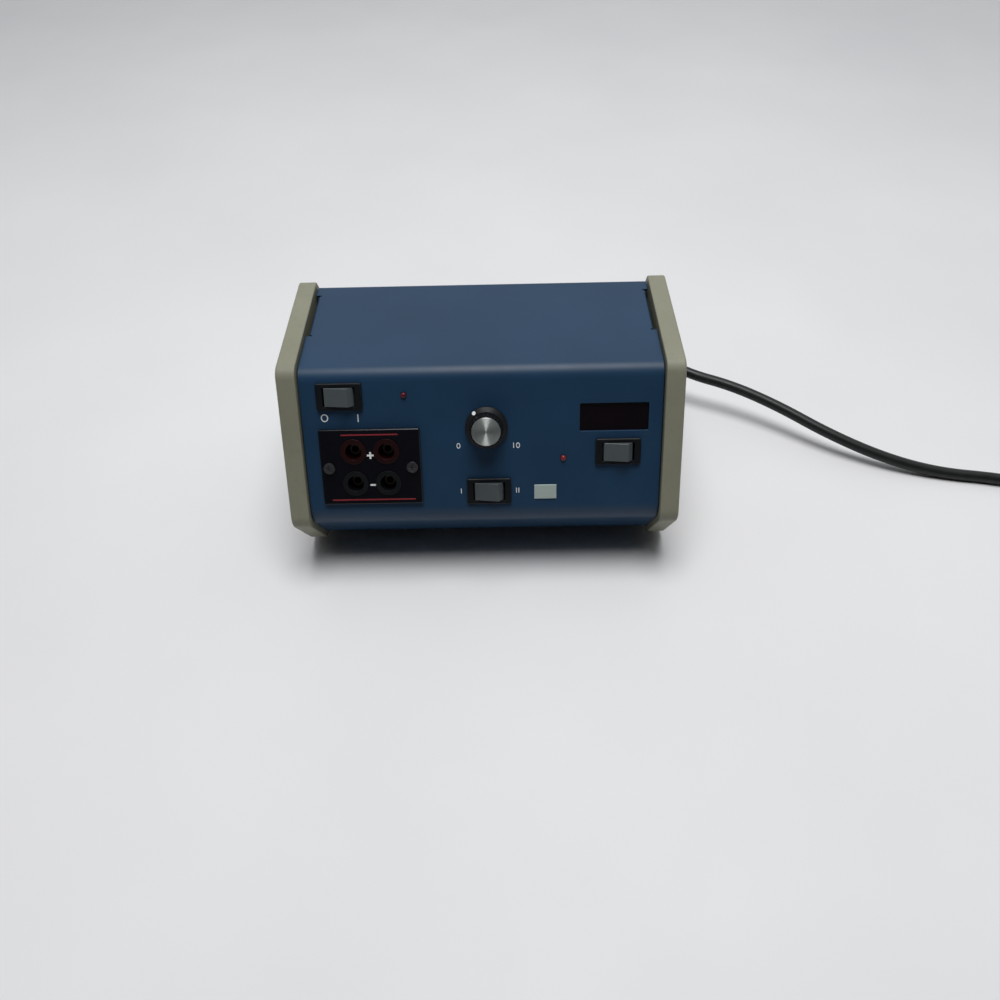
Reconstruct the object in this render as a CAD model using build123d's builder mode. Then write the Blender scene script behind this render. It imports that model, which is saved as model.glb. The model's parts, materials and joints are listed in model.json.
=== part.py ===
from build123d import *
import math
import os

os.makedirs("parts", exist_ok=True)

# An electrophoresis power supply. Millimetres, +X to the viewer's right, +Y to the back, +Z up.
# The origin is on the table, under the middle of the case.

# Case outline, a six-sided profile in the YZ plane
case_width = 229.0
panel_thickness = 11.0
panel_height = 120.0
apex_height = 40.0
top_length = 86.2
front_lean = 30.0
under_lean = 30.0
panel_clearance = 6.0
panel_corner_r = 9.0
panel_foot_r = 7.0
panel_back_r = 3.0
panel_edge_r = 1.4

# Folded sheets
sheet_t = 1.5
sheet_inset = 3.5
sheet_bend_r = 10.0
apex_bend_r = 13.0
edge_gap = 0.8
rear_y = 43.5
rear_lip = 14.0
rear_bend_r = 3.0
rear_edge_drop = 2.0
bottom_flange = 15.0
notch_width = 1.6
notch_start_y = -8.0
notch_end_y = 33.0
relief_cut_l = 3.4
relief_cut_w = 1.0
tab_depth = 7.0
tab_bend_r = 1.2

# Fasteners
hole_clearance = 0.15
screw_r = 2.0
screw_head_r = 3.6
screw_head_t = 2.4
nut_flats = 7.0
nut_t = 3.0
small_screw_r = 1.5
small_head_r = 2.8
small_head_t = 1.8
small_nut_flats = 5.5
small_nut_t = 2.2
plate_head_r = 3.2
board_screw_r = 1.25
board_screw_l = 5.0
board_head_r = 2.3
board_head_t = 1.5
counterbore_r = 4.4
counterbore_depth = 4.0
panel_screw_z = 22.0
panel_screw_ys = (-38.0, 22.0)
cover_screw_xs = (-84.0, -28.0, 28.0, 84.0)

# Brackets, tie bars and feet
bracket_leg = 14.0
bracket_t = 1.5
bracket_length = 80.0
bracket_mid_y = -8.0
bracket_rivet_ys = (-24.0, 8.0)
rivet_head_t = 1.0
tie_bar_r = 4.0
tie_bar_y = 27.0
front_bar_drop = 5.2
rear_bar_drop = 10.2
tie_thread_depth = 12.0
foot_r = 7.5
foot_tip_r = 6.8
foot_x = 74.0
foot_rear_y = 30.0
foot_flange_gap = 0.6
foot_recess_r = 4.2
foot_recess_depth = 5.0

# Rocker switches
bezel_t = 2.0
bezel_corner_r = 1.2
switch_depth = 19.0
well_l = 18.6
well_w = 11.0
well_wall_l = 1.4
well_wall_w = 1.0
bezel_lap_l = 2.3
bezel_lap_w = 1.3
well_depth = 10.4
rocker_tilt = 13.0
rocker_gap = 0.2
rocker_tip_x = 6.9
rocker_tip_z = 6.7
rocker_edge_r = 0.4
rocker_side_x = 8.9
rocker_side_z = 2.2
rocker_back_z = 1.0
pivot_depth = 4.9
trunnion_r = 1.4
trunnion_l = 0.8
running_gap = 0.05
terminal_l = 8.0
terminal_w = 4.8
terminal_t = 0.8
terminal_pitch = 7.0
power_x = -80.2
power_s = 74.4
range_x = 3.2
range_s = 17.1
meter_x = 78.0
meter_s = 39.7

# Knob and potentiometer
knob_x = 2.5
knob_s = 55.3
knob_skirt_r = 12.2
knob_skirt_t = 1.6
knob_cone_top = 3.4
knob_grip_r = 9.2
knob_height = 11.6
knob_gap = 0.8
knob_flutes = 24
knob_flute_r = 0.55
knob_cap_r = 8.15
knob_cap_t = 1.2
knob_cap_proud = 0.4
knob_hollow_r = 7.6
knob_hollow_top = 5.8
shaft_r = 3.0
shaft_top = 10.4
bushing_r = 4.5
bushing_top = 5.0
washer_r = 7.0
washer_t = 0.8
pot_r = 11.8
pot_depth = 12.0
wiper_r = 8.6
wiper_t = 1.6
pot_nut_flats = 11.0
pot_nut_t = 2.2

# Output plate and jacks
plate_x = -64.7
plate_s = 33.3
plate_w = 58.0
plate_h = 45.0
plate_t = 2.6
plate_screw_span = 48.0
jack_pitch = 19.05
jack_flange_lap = 1.2
jack_flange_t = 0.9
jack_body_r = 6.2
jack_well_r = 4.7
jack_well_depth = 9.0
jack_length = 21.0
jack_bore_r = 2.0
jack_contact_r = 3.1
jack_contact_l = 20.0
jack_contact_stand = 2.0
jack_bore_l = 16.0
jack_nut_wall = 2.2
jack_nut_t = 3.0
jack_seam_deg = 20.0

# Meter window, lamps and badge
window_x = 75.4
window_s = 59.9
window_w = 39.3
window_h = 16.2
window_lap = 0.9
window_corner_r = 0.8
window_t = 2.0
meter_post_l = 14.0
meter_post_r = 1.8
meter_post_x = 19.8
meter_post_s = 11.1
meter_board_w = 49.0
meter_board_h = 26.2
board_t = 1.6
digits_w = 36.0
digits_h = 13.0
digits_t = 8.0
lamp_r = 1.6
lamp_back = 5.0
lamp_proud = 0.9
lamp_clip_r = 3.2
lamp_clip_t = 3.0
fuse_lamp_x = -43.8
fuse_lamp_s = 74.6
overload_x = 46.5
overload_s = 36.2
badge_x = 36.1
badge_s = 15.9
badge_w = 13.0
badge_h = 8.6
badge_t = 0.6

# Transformer
core_x = -40.0
core_y = 4.0
core_w = 66.0
core_h = 55.0
core_stack = 34.0
core_leg = 11.0
winding_out = 11.0
winding_gap = 0.4
strap_t = 1.2
strap_foot = 13.0

# Main board and what it carries
board_x = 47.5
board_y = 0.0
board_w = 86.0
board_d = 76.0
standoff_h = 8.0
standoff_r = 3.0
board_hole_inset = 5.0
capacitor_r = 12.5
capacitor_h = 44.0
big_capacitor_points = ((28.0, 8.0), (59.0, 8.0))
small_capacitor_points = ((12.5, -20.0), (30.0, -21.0), (48.0, -21.0))
small_capacitor_r = 6.5
small_capacitor_h = 20.0
sink_x = 58.0
sink_z = 64.0
sink_w = 68.0
sink_base_t = 3.0
sink_fin_l = 16.0
sink_fin_t = 1.6
sink_fins = 9
sink_h = 46.0
sink_screw_offsets = ((-12.45, -13.0), (-12.45, 13.0), (12.45, -13.0), (12.45, 13.0))
transistor_pitch = 20.0
transistor_leg_l = 10.0
transistor_w = 10.0
transistor_t = 4.5
transistor_h = 15.0

# Rear sheet: fuse holder, vents and cord exit
fuse_x = 6.0
fuse_z = 50.0
fuse_body_r = 6.2
fuse_body_l = 42.0
fuse_flange_r = 8.2
fuse_flange_t = 2.0
fuse_bore_r = 3.6
fuse_mouth_r = 5.2
fuse_mouth_depth = 6.0
fuse_r = 3.175
fuse_l = 31.8
fuse_end_l = 6.4
fuse_glass_r = 2.9
fuse_nut_flats = 17.0
fuse_cap_r = 7.4
fuse_cap_t = 7.0
vent_w = 3.0
vent_l = 12.0
vent_pitch = 8.0
vent_count = 22
vent_zs = (27.0, 98.0)

# Mains cord
cord_d = 7.6
cord_exit_x = -30.0
cord_exit_z = 50.0
relief_l = 34.0
relief_base_r = 8.0
relief_root_r = 6.6
relief_tip_r = 4.7
relief_neck_r = 5.4
cord_length = 1800.0
coil_x = 424.0
coil_y = 0.0
coil_mean_r = 42.0
coil_section_w = 22.8
coil_section_h = 14.4
cord_entry_deg = 248.0
plug_l = 32.0
plug_w = 27.0
plug_h = 24.0
plug_boot_l = 22.0
plug_boot_tip_r = 4.7
plug_boot_root_r = 7.0
plug_pin_pitch = 12.7
plug_earth_drop = 11.9
pin_l = 17.0
pin_w = 6.3
pin_t = 1.5
earth_pin_r = 2.4

# Worked out from the sizes above
half_depth = top_length / 2 + (panel_height - apex_height) * math.tan(math.radians(front_lean))
half_bottom = half_depth - apex_height * math.tan(math.radians(under_lean))
panel_inner_x = case_width / 2 - panel_thickness
sheet_half_w = panel_inner_x - edge_gap
apex_z = panel_clearance + apex_height
rear_inset = sheet_inset + sheet_t
floor_z = panel_clearance + rear_inset + sheet_t
foot_top = panel_clearance + rear_inset
under_top_z = panel_clearance + panel_height - rear_inset
tie_bar_points = ((-tie_bar_y, under_top_z - front_bar_drop), (tie_bar_y, under_top_z - rear_bar_drop))
switch_body_l = well_l + 2 * well_wall_l
switch_body_w = well_w + 2 * well_wall_w
bezel_l = switch_body_l + 2 * bezel_lap_l
bezel_w = switch_body_w + 2 * bezel_lap_w
jack_flange_r = jack_body_r + jack_flange_lap
jack_nut_r = jack_body_r + jack_nut_wall


def corners(inset):
    """Top, apex and foot corners (y, z) of the front outline, moved in by a distance."""
    lean, under = math.radians(front_lean), math.radians(under_lean)
    rise = inset * (1 / math.cos(under) - 1 / math.cos(lean)) / (math.tan(lean) + math.tan(under))
    top_z = panel_clearance + panel_height - inset
    foot_z = panel_clearance + inset
    front = -half_depth + inset / math.cos(lean)
    below = -half_depth + inset / math.cos(under)
    top = (front + (top_z - apex_z) * math.tan(lean), top_z)
    apex = (front + rise * math.tan(lean), apex_z + rise)
    foot = (below + (apex_z - foot_z) * math.tan(under), foot_z)
    return top, apex, foot


def back(point):
    """The same point of the outline on the rear side."""
    return (-point[0], point[1])


lean_rad = math.radians(front_lean)
front_apex = corners(sheet_inset)[1]
front_face = Plane(
    origin=(0, *front_apex),
    x_dir=(1, 0, 0),
    z_dir=(0, -math.cos(lean_rad), math.sin(lean_rad)),
)
rear_face = Plane(origin=(0, rear_y - sheet_t, 0), x_dir=(-1, 0, 0), z_dir=(0, 1, 0))


def on_front(x, s, out=0.0):
    """Plane on the front slope at x, s up from the apex, and a distance out of the sheet."""
    return Plane(
        origin=front_face.from_local_coords((x, s, out)),
        x_dir=front_face.x_dir,
        z_dir=front_face.z_dir,
    )


def on_rear(x, z, out=0.0):
    """Plane on the outside of the rear sheet at x, z of the whole frame."""
    return Plane(
        origin=rear_face.from_local_coords((-x, z, out)),
        x_dir=rear_face.x_dir,
        z_dir=rear_face.z_dir,
    )


def keep(piece, name):
    """Label a finished piece and write its file."""
    piece.label = name
    export_step(piece, f"parts/{name}.step")


def panel_planes(side, depth):
    """Planes that face out of an end panel at its four screws, a depth under its outer face."""
    low = [(y, panel_screw_z) for y in panel_screw_ys]
    x = side * (case_width / 2 - depth)
    return [Plane(origin=(x, y, z), z_dir=(side, 0, 0)) for y, z in (*low, *tie_bar_points)]


# End panels
def end_panel(side):
    """A solid moulded hexagonal panel. side is -1 for the left and 1 for the right."""
    top, apex, foot = corners(0)
    with BuildPart() as panel:
        with BuildSketch(Plane.YZ.offset(side * panel_inner_x)):
            with BuildLine():
                FilletPolyline(
                    top,
                    apex,
                    foot,
                    back(foot),
                    back(apex),
                    back(top),
                    radius=[panel_corner_r] * 2 + [panel_foot_r] * 2 + [panel_corner_r, panel_back_r],
                    close=True,
                )
            make_face()
        extrude(amount=side * panel_thickness)
        outer_rim = panel.faces().sort_by(Axis.X)[-1 if side > 0 else 0].edges()
        fillet(outer_rim, panel_edge_r)
        inner_rim = panel.faces().sort_by(Axis.X)[0 if side > 0 else -1].edges()
        fillet(inner_rim, panel_edge_r / 2)
        with Locations(*panel_planes(side, 0.0)):
            CounterBoreHole(screw_r + hole_clearance, counterbore_r, counterbore_depth)
    return panel.part


keep(end_panel(-1), "left_end_panel")
keep(end_panel(1), "right_end_panel")


# Front cover: rear lip, top, front slope, lower front and bottom flange in one folded sheet
out_top, out_apex, out_foot = corners(sheet_inset)
in_top, in_apex, in_foot = corners(sheet_inset + sheet_t)
lip_z = out_top[1] - rear_lip
flange_y = out_foot[0] + bottom_flange
cover_screw_z = out_top[1] - 0.6 * rear_lip
flange_screw_y = flange_y - 1.5 * small_head_r
notch_mid_y = (notch_start_y + notch_end_y) / 2
relief_ys = (notch_start_y + relief_cut_w / 2, notch_end_y - relief_cut_w / 2)
tab_outer_x = sheet_half_w - notch_width
tab_mid_x = tab_outer_x - sheet_t / 2
jack_offsets = [(x, s) for s in (jack_pitch / 2, -jack_pitch / 2) for x in (-jack_pitch / 2, jack_pitch / 2)]

with BuildPart() as front_cover:
    with BuildSketch(Plane.YZ.offset(-sheet_half_w)):
        with BuildLine():
            FilletPolyline(
                (rear_y, lip_z),
                (rear_y, out_top[1]),
                out_top,
                out_apex,
                out_foot,
                (flange_y, out_foot[1]),
                radius=[rear_bend_r, sheet_bend_r, apex_bend_r, sheet_bend_r],
            )
            Line((flange_y, out_foot[1]), (flange_y, in_foot[1]))
            FilletPolyline(
                (flange_y, in_foot[1]),
                in_foot,
                in_apex,
                in_top,
                (rear_y - sheet_t, in_top[1]),
                (rear_y - sheet_t, lip_z),
                radius=[r - sheet_t for r in (sheet_bend_r, apex_bend_r, sheet_bend_r, rear_bend_r)],
            )
            Line((rear_y - sheet_t, lip_z), (rear_y, lip_z))
        make_face()
    extrude(amount=2 * sheet_half_w)
    with BuildSketch(Plane.XY.offset(out_top[1])):
        with Locations((-sheet_half_w, notch_mid_y), (sheet_half_w, notch_mid_y)):
            Rectangle(2 * notch_width, notch_end_y - notch_start_y)
        with Locations(*[(x, y) for x in (-sheet_half_w, sheet_half_w) for y in relief_ys]):
            Rectangle(2 * relief_cut_l, relief_cut_w)
    extrude(amount=-2 * sheet_t, mode=Mode.SUBTRACT)
    tab_planes = [Plane(origin=(x, notch_mid_y, out_top[1])) for x in (-tab_mid_x, tab_mid_x)]
    with BuildSketch(*tab_planes):
        Rectangle(sheet_t, relief_ys[1] - relief_ys[0] - relief_cut_w)
    extrude(amount=-tab_depth)
    tab_edges = front_cover.edges().filter_by(Axis.Y).group_by(Axis.Z)[-1]
    fillet([e for e in tab_edges if abs(abs(e.center().X) - tab_outer_x) < tab_bend_r / 2], tab_bend_r)
    with BuildSketch(front_face):
        with Locations((power_x, power_s), (range_x, range_s), (meter_x, meter_s)):
            Rectangle(switch_body_l + 2 * hole_clearance, switch_body_w + 2 * hole_clearance)
        with Locations((knob_x, knob_s)):
            Circle(bushing_r + hole_clearance)
        with Locations(*[(plate_x + x, plate_s + s) for x, s in jack_offsets]):
            Circle(jack_body_r + hole_clearance)
        with Locations((plate_x - plate_screw_span / 2, plate_s), (plate_x + plate_screw_span / 2, plate_s)):
            Circle(small_screw_r + hole_clearance)
        with Locations((window_x, window_s)):
            RectangleRounded(window_w, window_h, window_corner_r)
        with Locations((fuse_lamp_x, fuse_lamp_s), (overload_x, overload_s)):
            Circle(lamp_r + hole_clearance)
    extrude(amount=-2 * sheet_t, mode=Mode.SUBTRACT)
    with BuildSketch(rear_face):
        with Locations(*[(-x, cover_screw_z) for x in cover_screw_xs]):
            Circle(small_screw_r + hole_clearance)
    extrude(amount=2 * sheet_t, mode=Mode.SUBTRACT)
    with BuildSketch(Plane.XY.offset(out_foot[1])):
        with Locations(*[(x, flange_screw_y) for x in cover_screw_xs]):
            Circle(small_screw_r + hole_clearance)
    extrude(amount=2 * sheet_t, mode=Mode.SUBTRACT)
keep(front_cover.part, "front_cover")


# Rear cover: upright rear sheet and bottom plate in one folded sheet, inside the front cover's edges
rear_outer_y = rear_y - sheet_t
rear_inner_y = rear_outer_y - sheet_t
rear_top_z = in_top[1] - rear_edge_drop
plate_front_y = in_foot[0] + 0.52 * sheet_bend_r
bracket_rivet_x = panel_inner_x - bracket_leg / 2
strap_screw_x = core_w / 2 + strap_t + strap_foot / 2
standoff_points = [
    (board_x + i * (board_w / 2 - board_hole_inset), board_y + j * (board_d / 2 - board_hole_inset))
    for i in (-1, 1)
    for j in (-1, 1)
]
foot_front_y = flange_y + foot_r + foot_flange_gap
foot_points = [(x, y) for x in (-foot_x, foot_x) for y in (foot_front_y, foot_rear_y)]
strap_points = [(core_x - strap_screw_x, core_y), (core_x + strap_screw_x, core_y)]
flange_points = [(x, flange_screw_y) for x in cover_screw_xs]
rivet_points = [(side * bracket_rivet_x, y) for side in (-1, 1) for y in bracket_rivet_ys]

with BuildPart() as rear_cover:
    with BuildSketch(Plane.YZ.offset(-sheet_half_w)):
        with BuildLine():
            FilletPolyline(
                (rear_outer_y, rear_top_z),
                (rear_outer_y, in_foot[1]),
                (plate_front_y, in_foot[1]),
                radius=rear_bend_r,
            )
            Line((plate_front_y, in_foot[1]), (plate_front_y, floor_z))
            FilletPolyline(
                (plate_front_y, floor_z),
                (rear_inner_y, floor_z),
                (rear_inner_y, rear_top_z),
                radius=rear_bend_r - sheet_t,
            )
            Line((rear_inner_y, rear_top_z), (rear_outer_y, rear_top_z))
        make_face()
    extrude(amount=2 * sheet_half_w)
    with BuildSketch(rear_face):
        with Locations(*[(-x, cover_screw_z) for x in cover_screw_xs]):
            Circle(small_screw_r + hole_clearance)
        with Locations((-fuse_x, fuse_z)):
            Circle(fuse_body_r + hole_clearance)
        with Locations((-cord_exit_x, cord_exit_z)):
            Circle(relief_neck_r + hole_clearance)
        with Locations(*[(-sink_x - x, sink_z + z) for x, z in sink_screw_offsets]):
            Circle(small_screw_r + hole_clearance)
        for vent_z in vent_zs:
            with Locations((0, vent_z)):
                with GridLocations(vent_pitch, 1, vent_count, 1):
                    SlotOverall(vent_l, vent_w, rotation=90)
    extrude(amount=-2 * sheet_t, mode=Mode.SUBTRACT)
    with BuildSketch(Plane.XY.offset(in_foot[1])):
        with Locations(*flange_points):
            Circle(small_screw_r + hole_clearance)
        with Locations(*foot_points, *strap_points):
            Circle(screw_r + hole_clearance)
        with Locations(*rivet_points):
            Circle(small_screw_r)
        with Locations(*standoff_points):
            Circle(small_screw_r + hole_clearance)
    extrude(amount=2 * sheet_t, mode=Mode.SUBTRACT)
keep(rear_cover.part, "rear_cover")


# Fasteners
def facing(planes, turned=False):
    """The same planes, or the same planes facing the other way."""
    return [Plane(origin=p.origin, x_dir=p.x_dir, z_dir=-p.z_dir if turned else p.z_dir) for p in planes]


def pan_screws(planes, shank_r, shank_l, head_r, head_t):
    """Pan-head screws, each on a plane that faces away from the surface under its head."""
    with BuildPart() as screws:
        with BuildSketch(*planes):
            Circle(head_r)
        extrude(amount=head_t)
        with BuildSketch(*planes):
            Circle(shank_r)
        extrude(amount=-shank_l)
        with BuildSketch(*[p.offset(head_t) for p in planes]):
            Rectangle(1.3 * head_r, 0.26 * head_r)
            Rectangle(0.26 * head_r, 1.3 * head_r)
        extrude(amount=-head_t * 0.55, mode=Mode.SUBTRACT)
    return screws.part


def hex_nuts(planes, flats, thickness, hole_r):
    """Hexagon nuts, each standing on a plane that faces away from the surface under it."""
    with BuildPart() as nuts:
        with BuildSketch(*planes):
            RegularPolygon(flats / 2, 6, major_radius=False)
            Circle(hole_r, mode=Mode.SUBTRACT)
        extrude(amount=thickness)
    return nuts.part


def floor_planes(points, z, up=1):
    """Horizontal planes at a height, facing up or down."""
    return [Plane(origin=(x, y, z), z_dir=(0, 0, up)) for x, y in points]


end_screw_l = panel_thickness - counterbore_depth + 9.0
bracket_nut_planes = [
    Plane(origin=(side * (panel_inner_x - bracket_t), y, panel_screw_z), z_dir=(-side, 0, 0))
    for side in (-1, 1)
    for y in panel_screw_ys
]
end_screws = pan_screws(
    panel_planes(-1, counterbore_depth) + panel_planes(1, counterbore_depth),
    screw_r,
    end_screw_l,
    screw_head_r,
    screw_head_t,
)
keep(end_screws, "end_panel_screws")

foot_grip = foot_top - foot_recess_depth
floor_screws = pan_screws(
    floor_planes(foot_points, foot_recess_depth, -1) + floor_planes(strap_points, foot_top, -1),
    screw_r,
    foot_grip + sheet_t + nut_t + 1.0,
    screw_head_r,
    screw_head_t,
)
keep(floor_screws, "floor_screws")
large_nuts = hex_nuts(
    floor_planes(foot_points, floor_z) + floor_planes(strap_points, floor_z + strap_t) + bracket_nut_planes,
    nut_flats,
    nut_t,
    screw_r + running_gap,
)
keep(large_nuts, "large_nuts")

lip_planes = [on_rear(x, cover_screw_z, sheet_t) for x in cover_screw_xs]
sink_planes = [on_rear(sink_x + x, sink_z + z, sink_base_t) for x, z in sink_screw_offsets]
cover_screws = pan_screws(
    lip_planes + floor_planes(flange_points, out_foot[1], -1) + sink_planes,
    small_screw_r,
    sink_base_t + sheet_t + small_nut_t + 0.8,
    small_head_r,
    small_head_t,
)
keep(cover_screws, "cover_screws")
plate_screw_planes = [on_front(plate_x + i * plate_screw_span / 2, plate_s, plate_t) for i in (-1, 1)]
plate_screws = pan_screws(
    plate_screw_planes, small_screw_r, plate_t + sheet_t + small_nut_t + 0.8, plate_head_r, small_head_t
)
keep(plate_screws, "output_plate_screws")
small_nuts = hex_nuts(
    facing([on_rear(x, cover_screw_z, -sheet_t) for x in cover_screw_xs], turned=True)
    + facing([p.offset(-sink_base_t - sheet_t) for p in sink_planes], turned=True)
    + floor_planes(flange_points, floor_z)
    + facing([on_front(plate_x + i * plate_screw_span / 2, plate_s, -sheet_t) for i in (-1, 1)], turned=True),
    small_nut_flats,
    small_nut_t,
    small_screw_r + running_gap,
)
keep(small_nuts, "small_nuts")


# Brackets, rivets, tie bars and feet
def bracket(side):
    """Angle bracket that joins the bottom plate to an end panel."""
    outer = side * panel_inner_x
    leg_in = side * (panel_inner_x - bracket_leg)
    wall_in = side * (panel_inner_x - bracket_t)
    top = floor_z + bracket_leg
    with BuildPart() as angle:
        with BuildSketch(Plane.XZ.offset(-bracket_mid_y)):
            with BuildLine():
                Polyline(
                    (outer, floor_z),
                    (outer, top),
                    (wall_in, top),
                    (wall_in, floor_z + bracket_t),
                    (leg_in, floor_z + bracket_t),
                    (leg_in, floor_z),
                    close=True,
                )
            make_face()
        extrude(amount=bracket_length / 2, both=True)
        with Locations(*panel_planes(side, panel_thickness)[:2]):
            Hole(screw_r + hole_clearance, depth=2 * bracket_t)
        with Locations(*floor_planes([(side * bracket_rivet_x, y) for y in bracket_rivet_ys], floor_z + bracket_t)):
            Hole(small_screw_r, depth=2 * bracket_t)
    return angle.part


keep(bracket(-1), "left_bracket")
keep(bracket(1), "right_bracket")

with BuildPart() as bracket_rivets:
    with BuildSketch(*floor_planes(rivet_points, foot_top - rivet_head_t)):
        Circle(small_head_r)
    extrude(amount=rivet_head_t)
    with BuildSketch(*floor_planes(rivet_points, foot_top)):
        Circle(small_screw_r)
    extrude(amount=sheet_t + bracket_t)
    with BuildSketch(*floor_planes(rivet_points, floor_z + bracket_t)):
        Circle(small_head_r)
    extrude(amount=rivet_head_t)
keep(bracket_rivets.part, "bracket_rivets")

with BuildPart() as tie_bars:
    with BuildSketch(Plane.YZ.offset(-panel_inner_x)):
        with Locations(*tie_bar_points):
            Circle(tie_bar_r)
    extrude(amount=2 * panel_inner_x)
    for side in (-1, 1):
        with BuildSketch(Plane.YZ.offset(side * panel_inner_x)):
            with Locations(*tie_bar_points):
                Circle(screw_r + running_gap)
        extrude(amount=-side * tie_thread_depth, mode=Mode.SUBTRACT)
keep(tie_bars.part, "tie_bars")

with BuildPart() as feet:
    with BuildSketch(Plane.XY):
        with Locations(*foot_points):
            Circle(foot_tip_r)
    extrude(amount=foot_top, taper=-math.degrees(math.atan((foot_r - foot_tip_r) / foot_top)))
    with BuildSketch(Plane.XY):
        with Locations(*foot_points):
            Circle(foot_recess_r)
    extrude(amount=foot_recess_depth, mode=Mode.SUBTRACT)
    with BuildSketch(Plane.XY):
        with Locations(*foot_points):
            Circle(screw_r + hole_clearance)
    extrude(amount=foot_top, mode=Mode.SUBTRACT)
keep(feet.part, "feet")


# Rocker switches
def rocker_switch(name, x, s, columns):
    """A snap-in rocker switch, drawn with its left end pressed in."""
    front = on_front(x, s)
    down_face = front.x_dir.cross(front.z_dir)
    pivot = Plane(origin=on_front(x, s, bezel_t - pivot_depth).origin, x_dir=front.x_dir, z_dir=down_face)
    tilt = math.radians(rocker_tilt)
    along_rocker = front.x_dir * math.cos(tilt) + front.z_dir * math.sin(tilt)
    pressed_left = Plane(origin=pivot.origin, x_dir=along_rocker, z_dir=pivot.z_dir)
    with BuildPart() as housing:
        with BuildSketch(front):
            RectangleRounded(bezel_l, bezel_w, bezel_corner_r)
        extrude(amount=bezel_t)
        chamfer(housing.faces().sort_by(Axis(front.origin, front.z_dir))[-1].edges(), 0.5)
        with BuildSketch(front):
            Rectangle(switch_body_l, switch_body_w)
        extrude(amount=-switch_depth)
        with BuildSketch(front.offset(bezel_t)):
            Rectangle(well_l, well_w)
        extrude(amount=-well_depth, mode=Mode.SUBTRACT)
        with BuildSketch(pivot):
            Circle(trunnion_r + running_gap)
        extrude(amount=well_w / 2 + trunnion_l + running_gap, both=True, mode=Mode.SUBTRACT)
    keep(housing.part, f"{name}_switch_housing")

    with BuildPart() as rocker:
        with BuildSketch(pressed_left):
            with BuildLine():
                Polyline(
                    (-rocker_tip_x, rocker_tip_z),
                    (rocker_tip_x, rocker_tip_z),
                    (rocker_side_x, rocker_side_z),
                    (rocker_side_x, -rocker_back_z),
                    (0.6 * rocker_side_x, -2 * rocker_back_z),
                    (-0.6 * rocker_side_x, -2 * rocker_back_z),
                    (-rocker_side_x, -rocker_back_z),
                    (-rocker_side_x, rocker_side_z),
                    close=True,
                )
            make_face()
        extrude(amount=well_w / 2 - rocker_gap, both=True)
        paddle_face = rocker.faces().sort_by(Axis(pivot.origin, pressed_left.y_dir))[-1]
        fillet(paddle_face.edges(), rocker_edge_r)
        with BuildSketch(pivot):
            Circle(trunnion_r)
        extrude(amount=well_w / 2 + trunnion_l - running_gap, both=True)
    keep(rocker.part, f"{name}_rocker")

    with BuildPart() as terminals:
        with BuildSketch(front.offset(-switch_depth)):
            with GridLocations(terminal_pitch, switch_body_w / 2, 3, columns):
                Rectangle(terminal_t, terminal_w)
        extrude(amount=-terminal_l)
    keep(terminals.part, f"{name}_switch_terminals")


rocker_switch("power", power_x, power_s, 2)
rocker_switch("range", range_x, range_s, 1)
rocker_switch("meter", meter_x, meter_s, 1)


# Voltage knob and potentiometer
def turned(base, points):
    """A solid turned about a plane's z axis, from (radius, height) points of its half section."""
    section = Plane(origin=base.origin, x_dir=base.x_dir, z_dir=base.x_dir.cross(base.z_dir))
    with BuildPart() as lathe:
        with BuildSketch(section):
            with BuildLine():
                Polyline(*points, close=True)
            make_face()
        revolve(axis=Axis(base.origin, base.z_dir))
    return lathe.part


knob_base = on_front(knob_x, knob_s)
pot_top = -sheet_t
cavity_top = pot_top - 4.0
cavity_r = wiper_r + 0.6
cavity_t = wiper_t + 1.0
shaft_bore_r = shaft_r + running_gap
wiper_top = cavity_top - 0.5
shaft_end = pot_top - pot_depth + 1.5
pot_body = turned(
    knob_base,
    [
        (shaft_bore_r, bushing_top),
        (bushing_r, bushing_top),
        (bushing_r, pot_top),
        (pot_r, pot_top),
        (pot_r, pot_top - pot_depth),
        (0, pot_top - pot_depth),
        (0, shaft_end - 0.3),
        (shaft_bore_r, shaft_end - 0.3),
        (shaft_bore_r, cavity_top - cavity_t),
        (cavity_r, cavity_top - cavity_t),
        (cavity_r, cavity_top),
        (shaft_bore_r, cavity_top),
    ],
)
keep(pot_body, "potentiometer_body")
pot_shaft = turned(
    knob_base,
    [
        (0, shaft_top),
        (shaft_r, shaft_top),
        (shaft_r, wiper_top),
        (wiper_r, wiper_top),
        (wiper_r, wiper_top - wiper_t),
        (shaft_r, wiper_top - wiper_t),
        (shaft_r, shaft_end),
        (0, shaft_end),
    ],
)
keep(pot_shaft, "potentiometer_shaft")

with BuildPart() as pot_nut:
    with BuildSketch(knob_base):
        Circle(washer_r)
        Circle(bushing_r + running_gap, mode=Mode.SUBTRACT)
    extrude(amount=washer_t)
    with BuildSketch(knob_base.offset(washer_t + 0.02)):
        RegularPolygon(pot_nut_flats / 2, 6, major_radius=False)
        Circle(bushing_r + running_gap, mode=Mode.SUBTRACT)
    extrude(amount=pot_nut_t)
keep(pot_nut.part, "potentiometer_nut")

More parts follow.
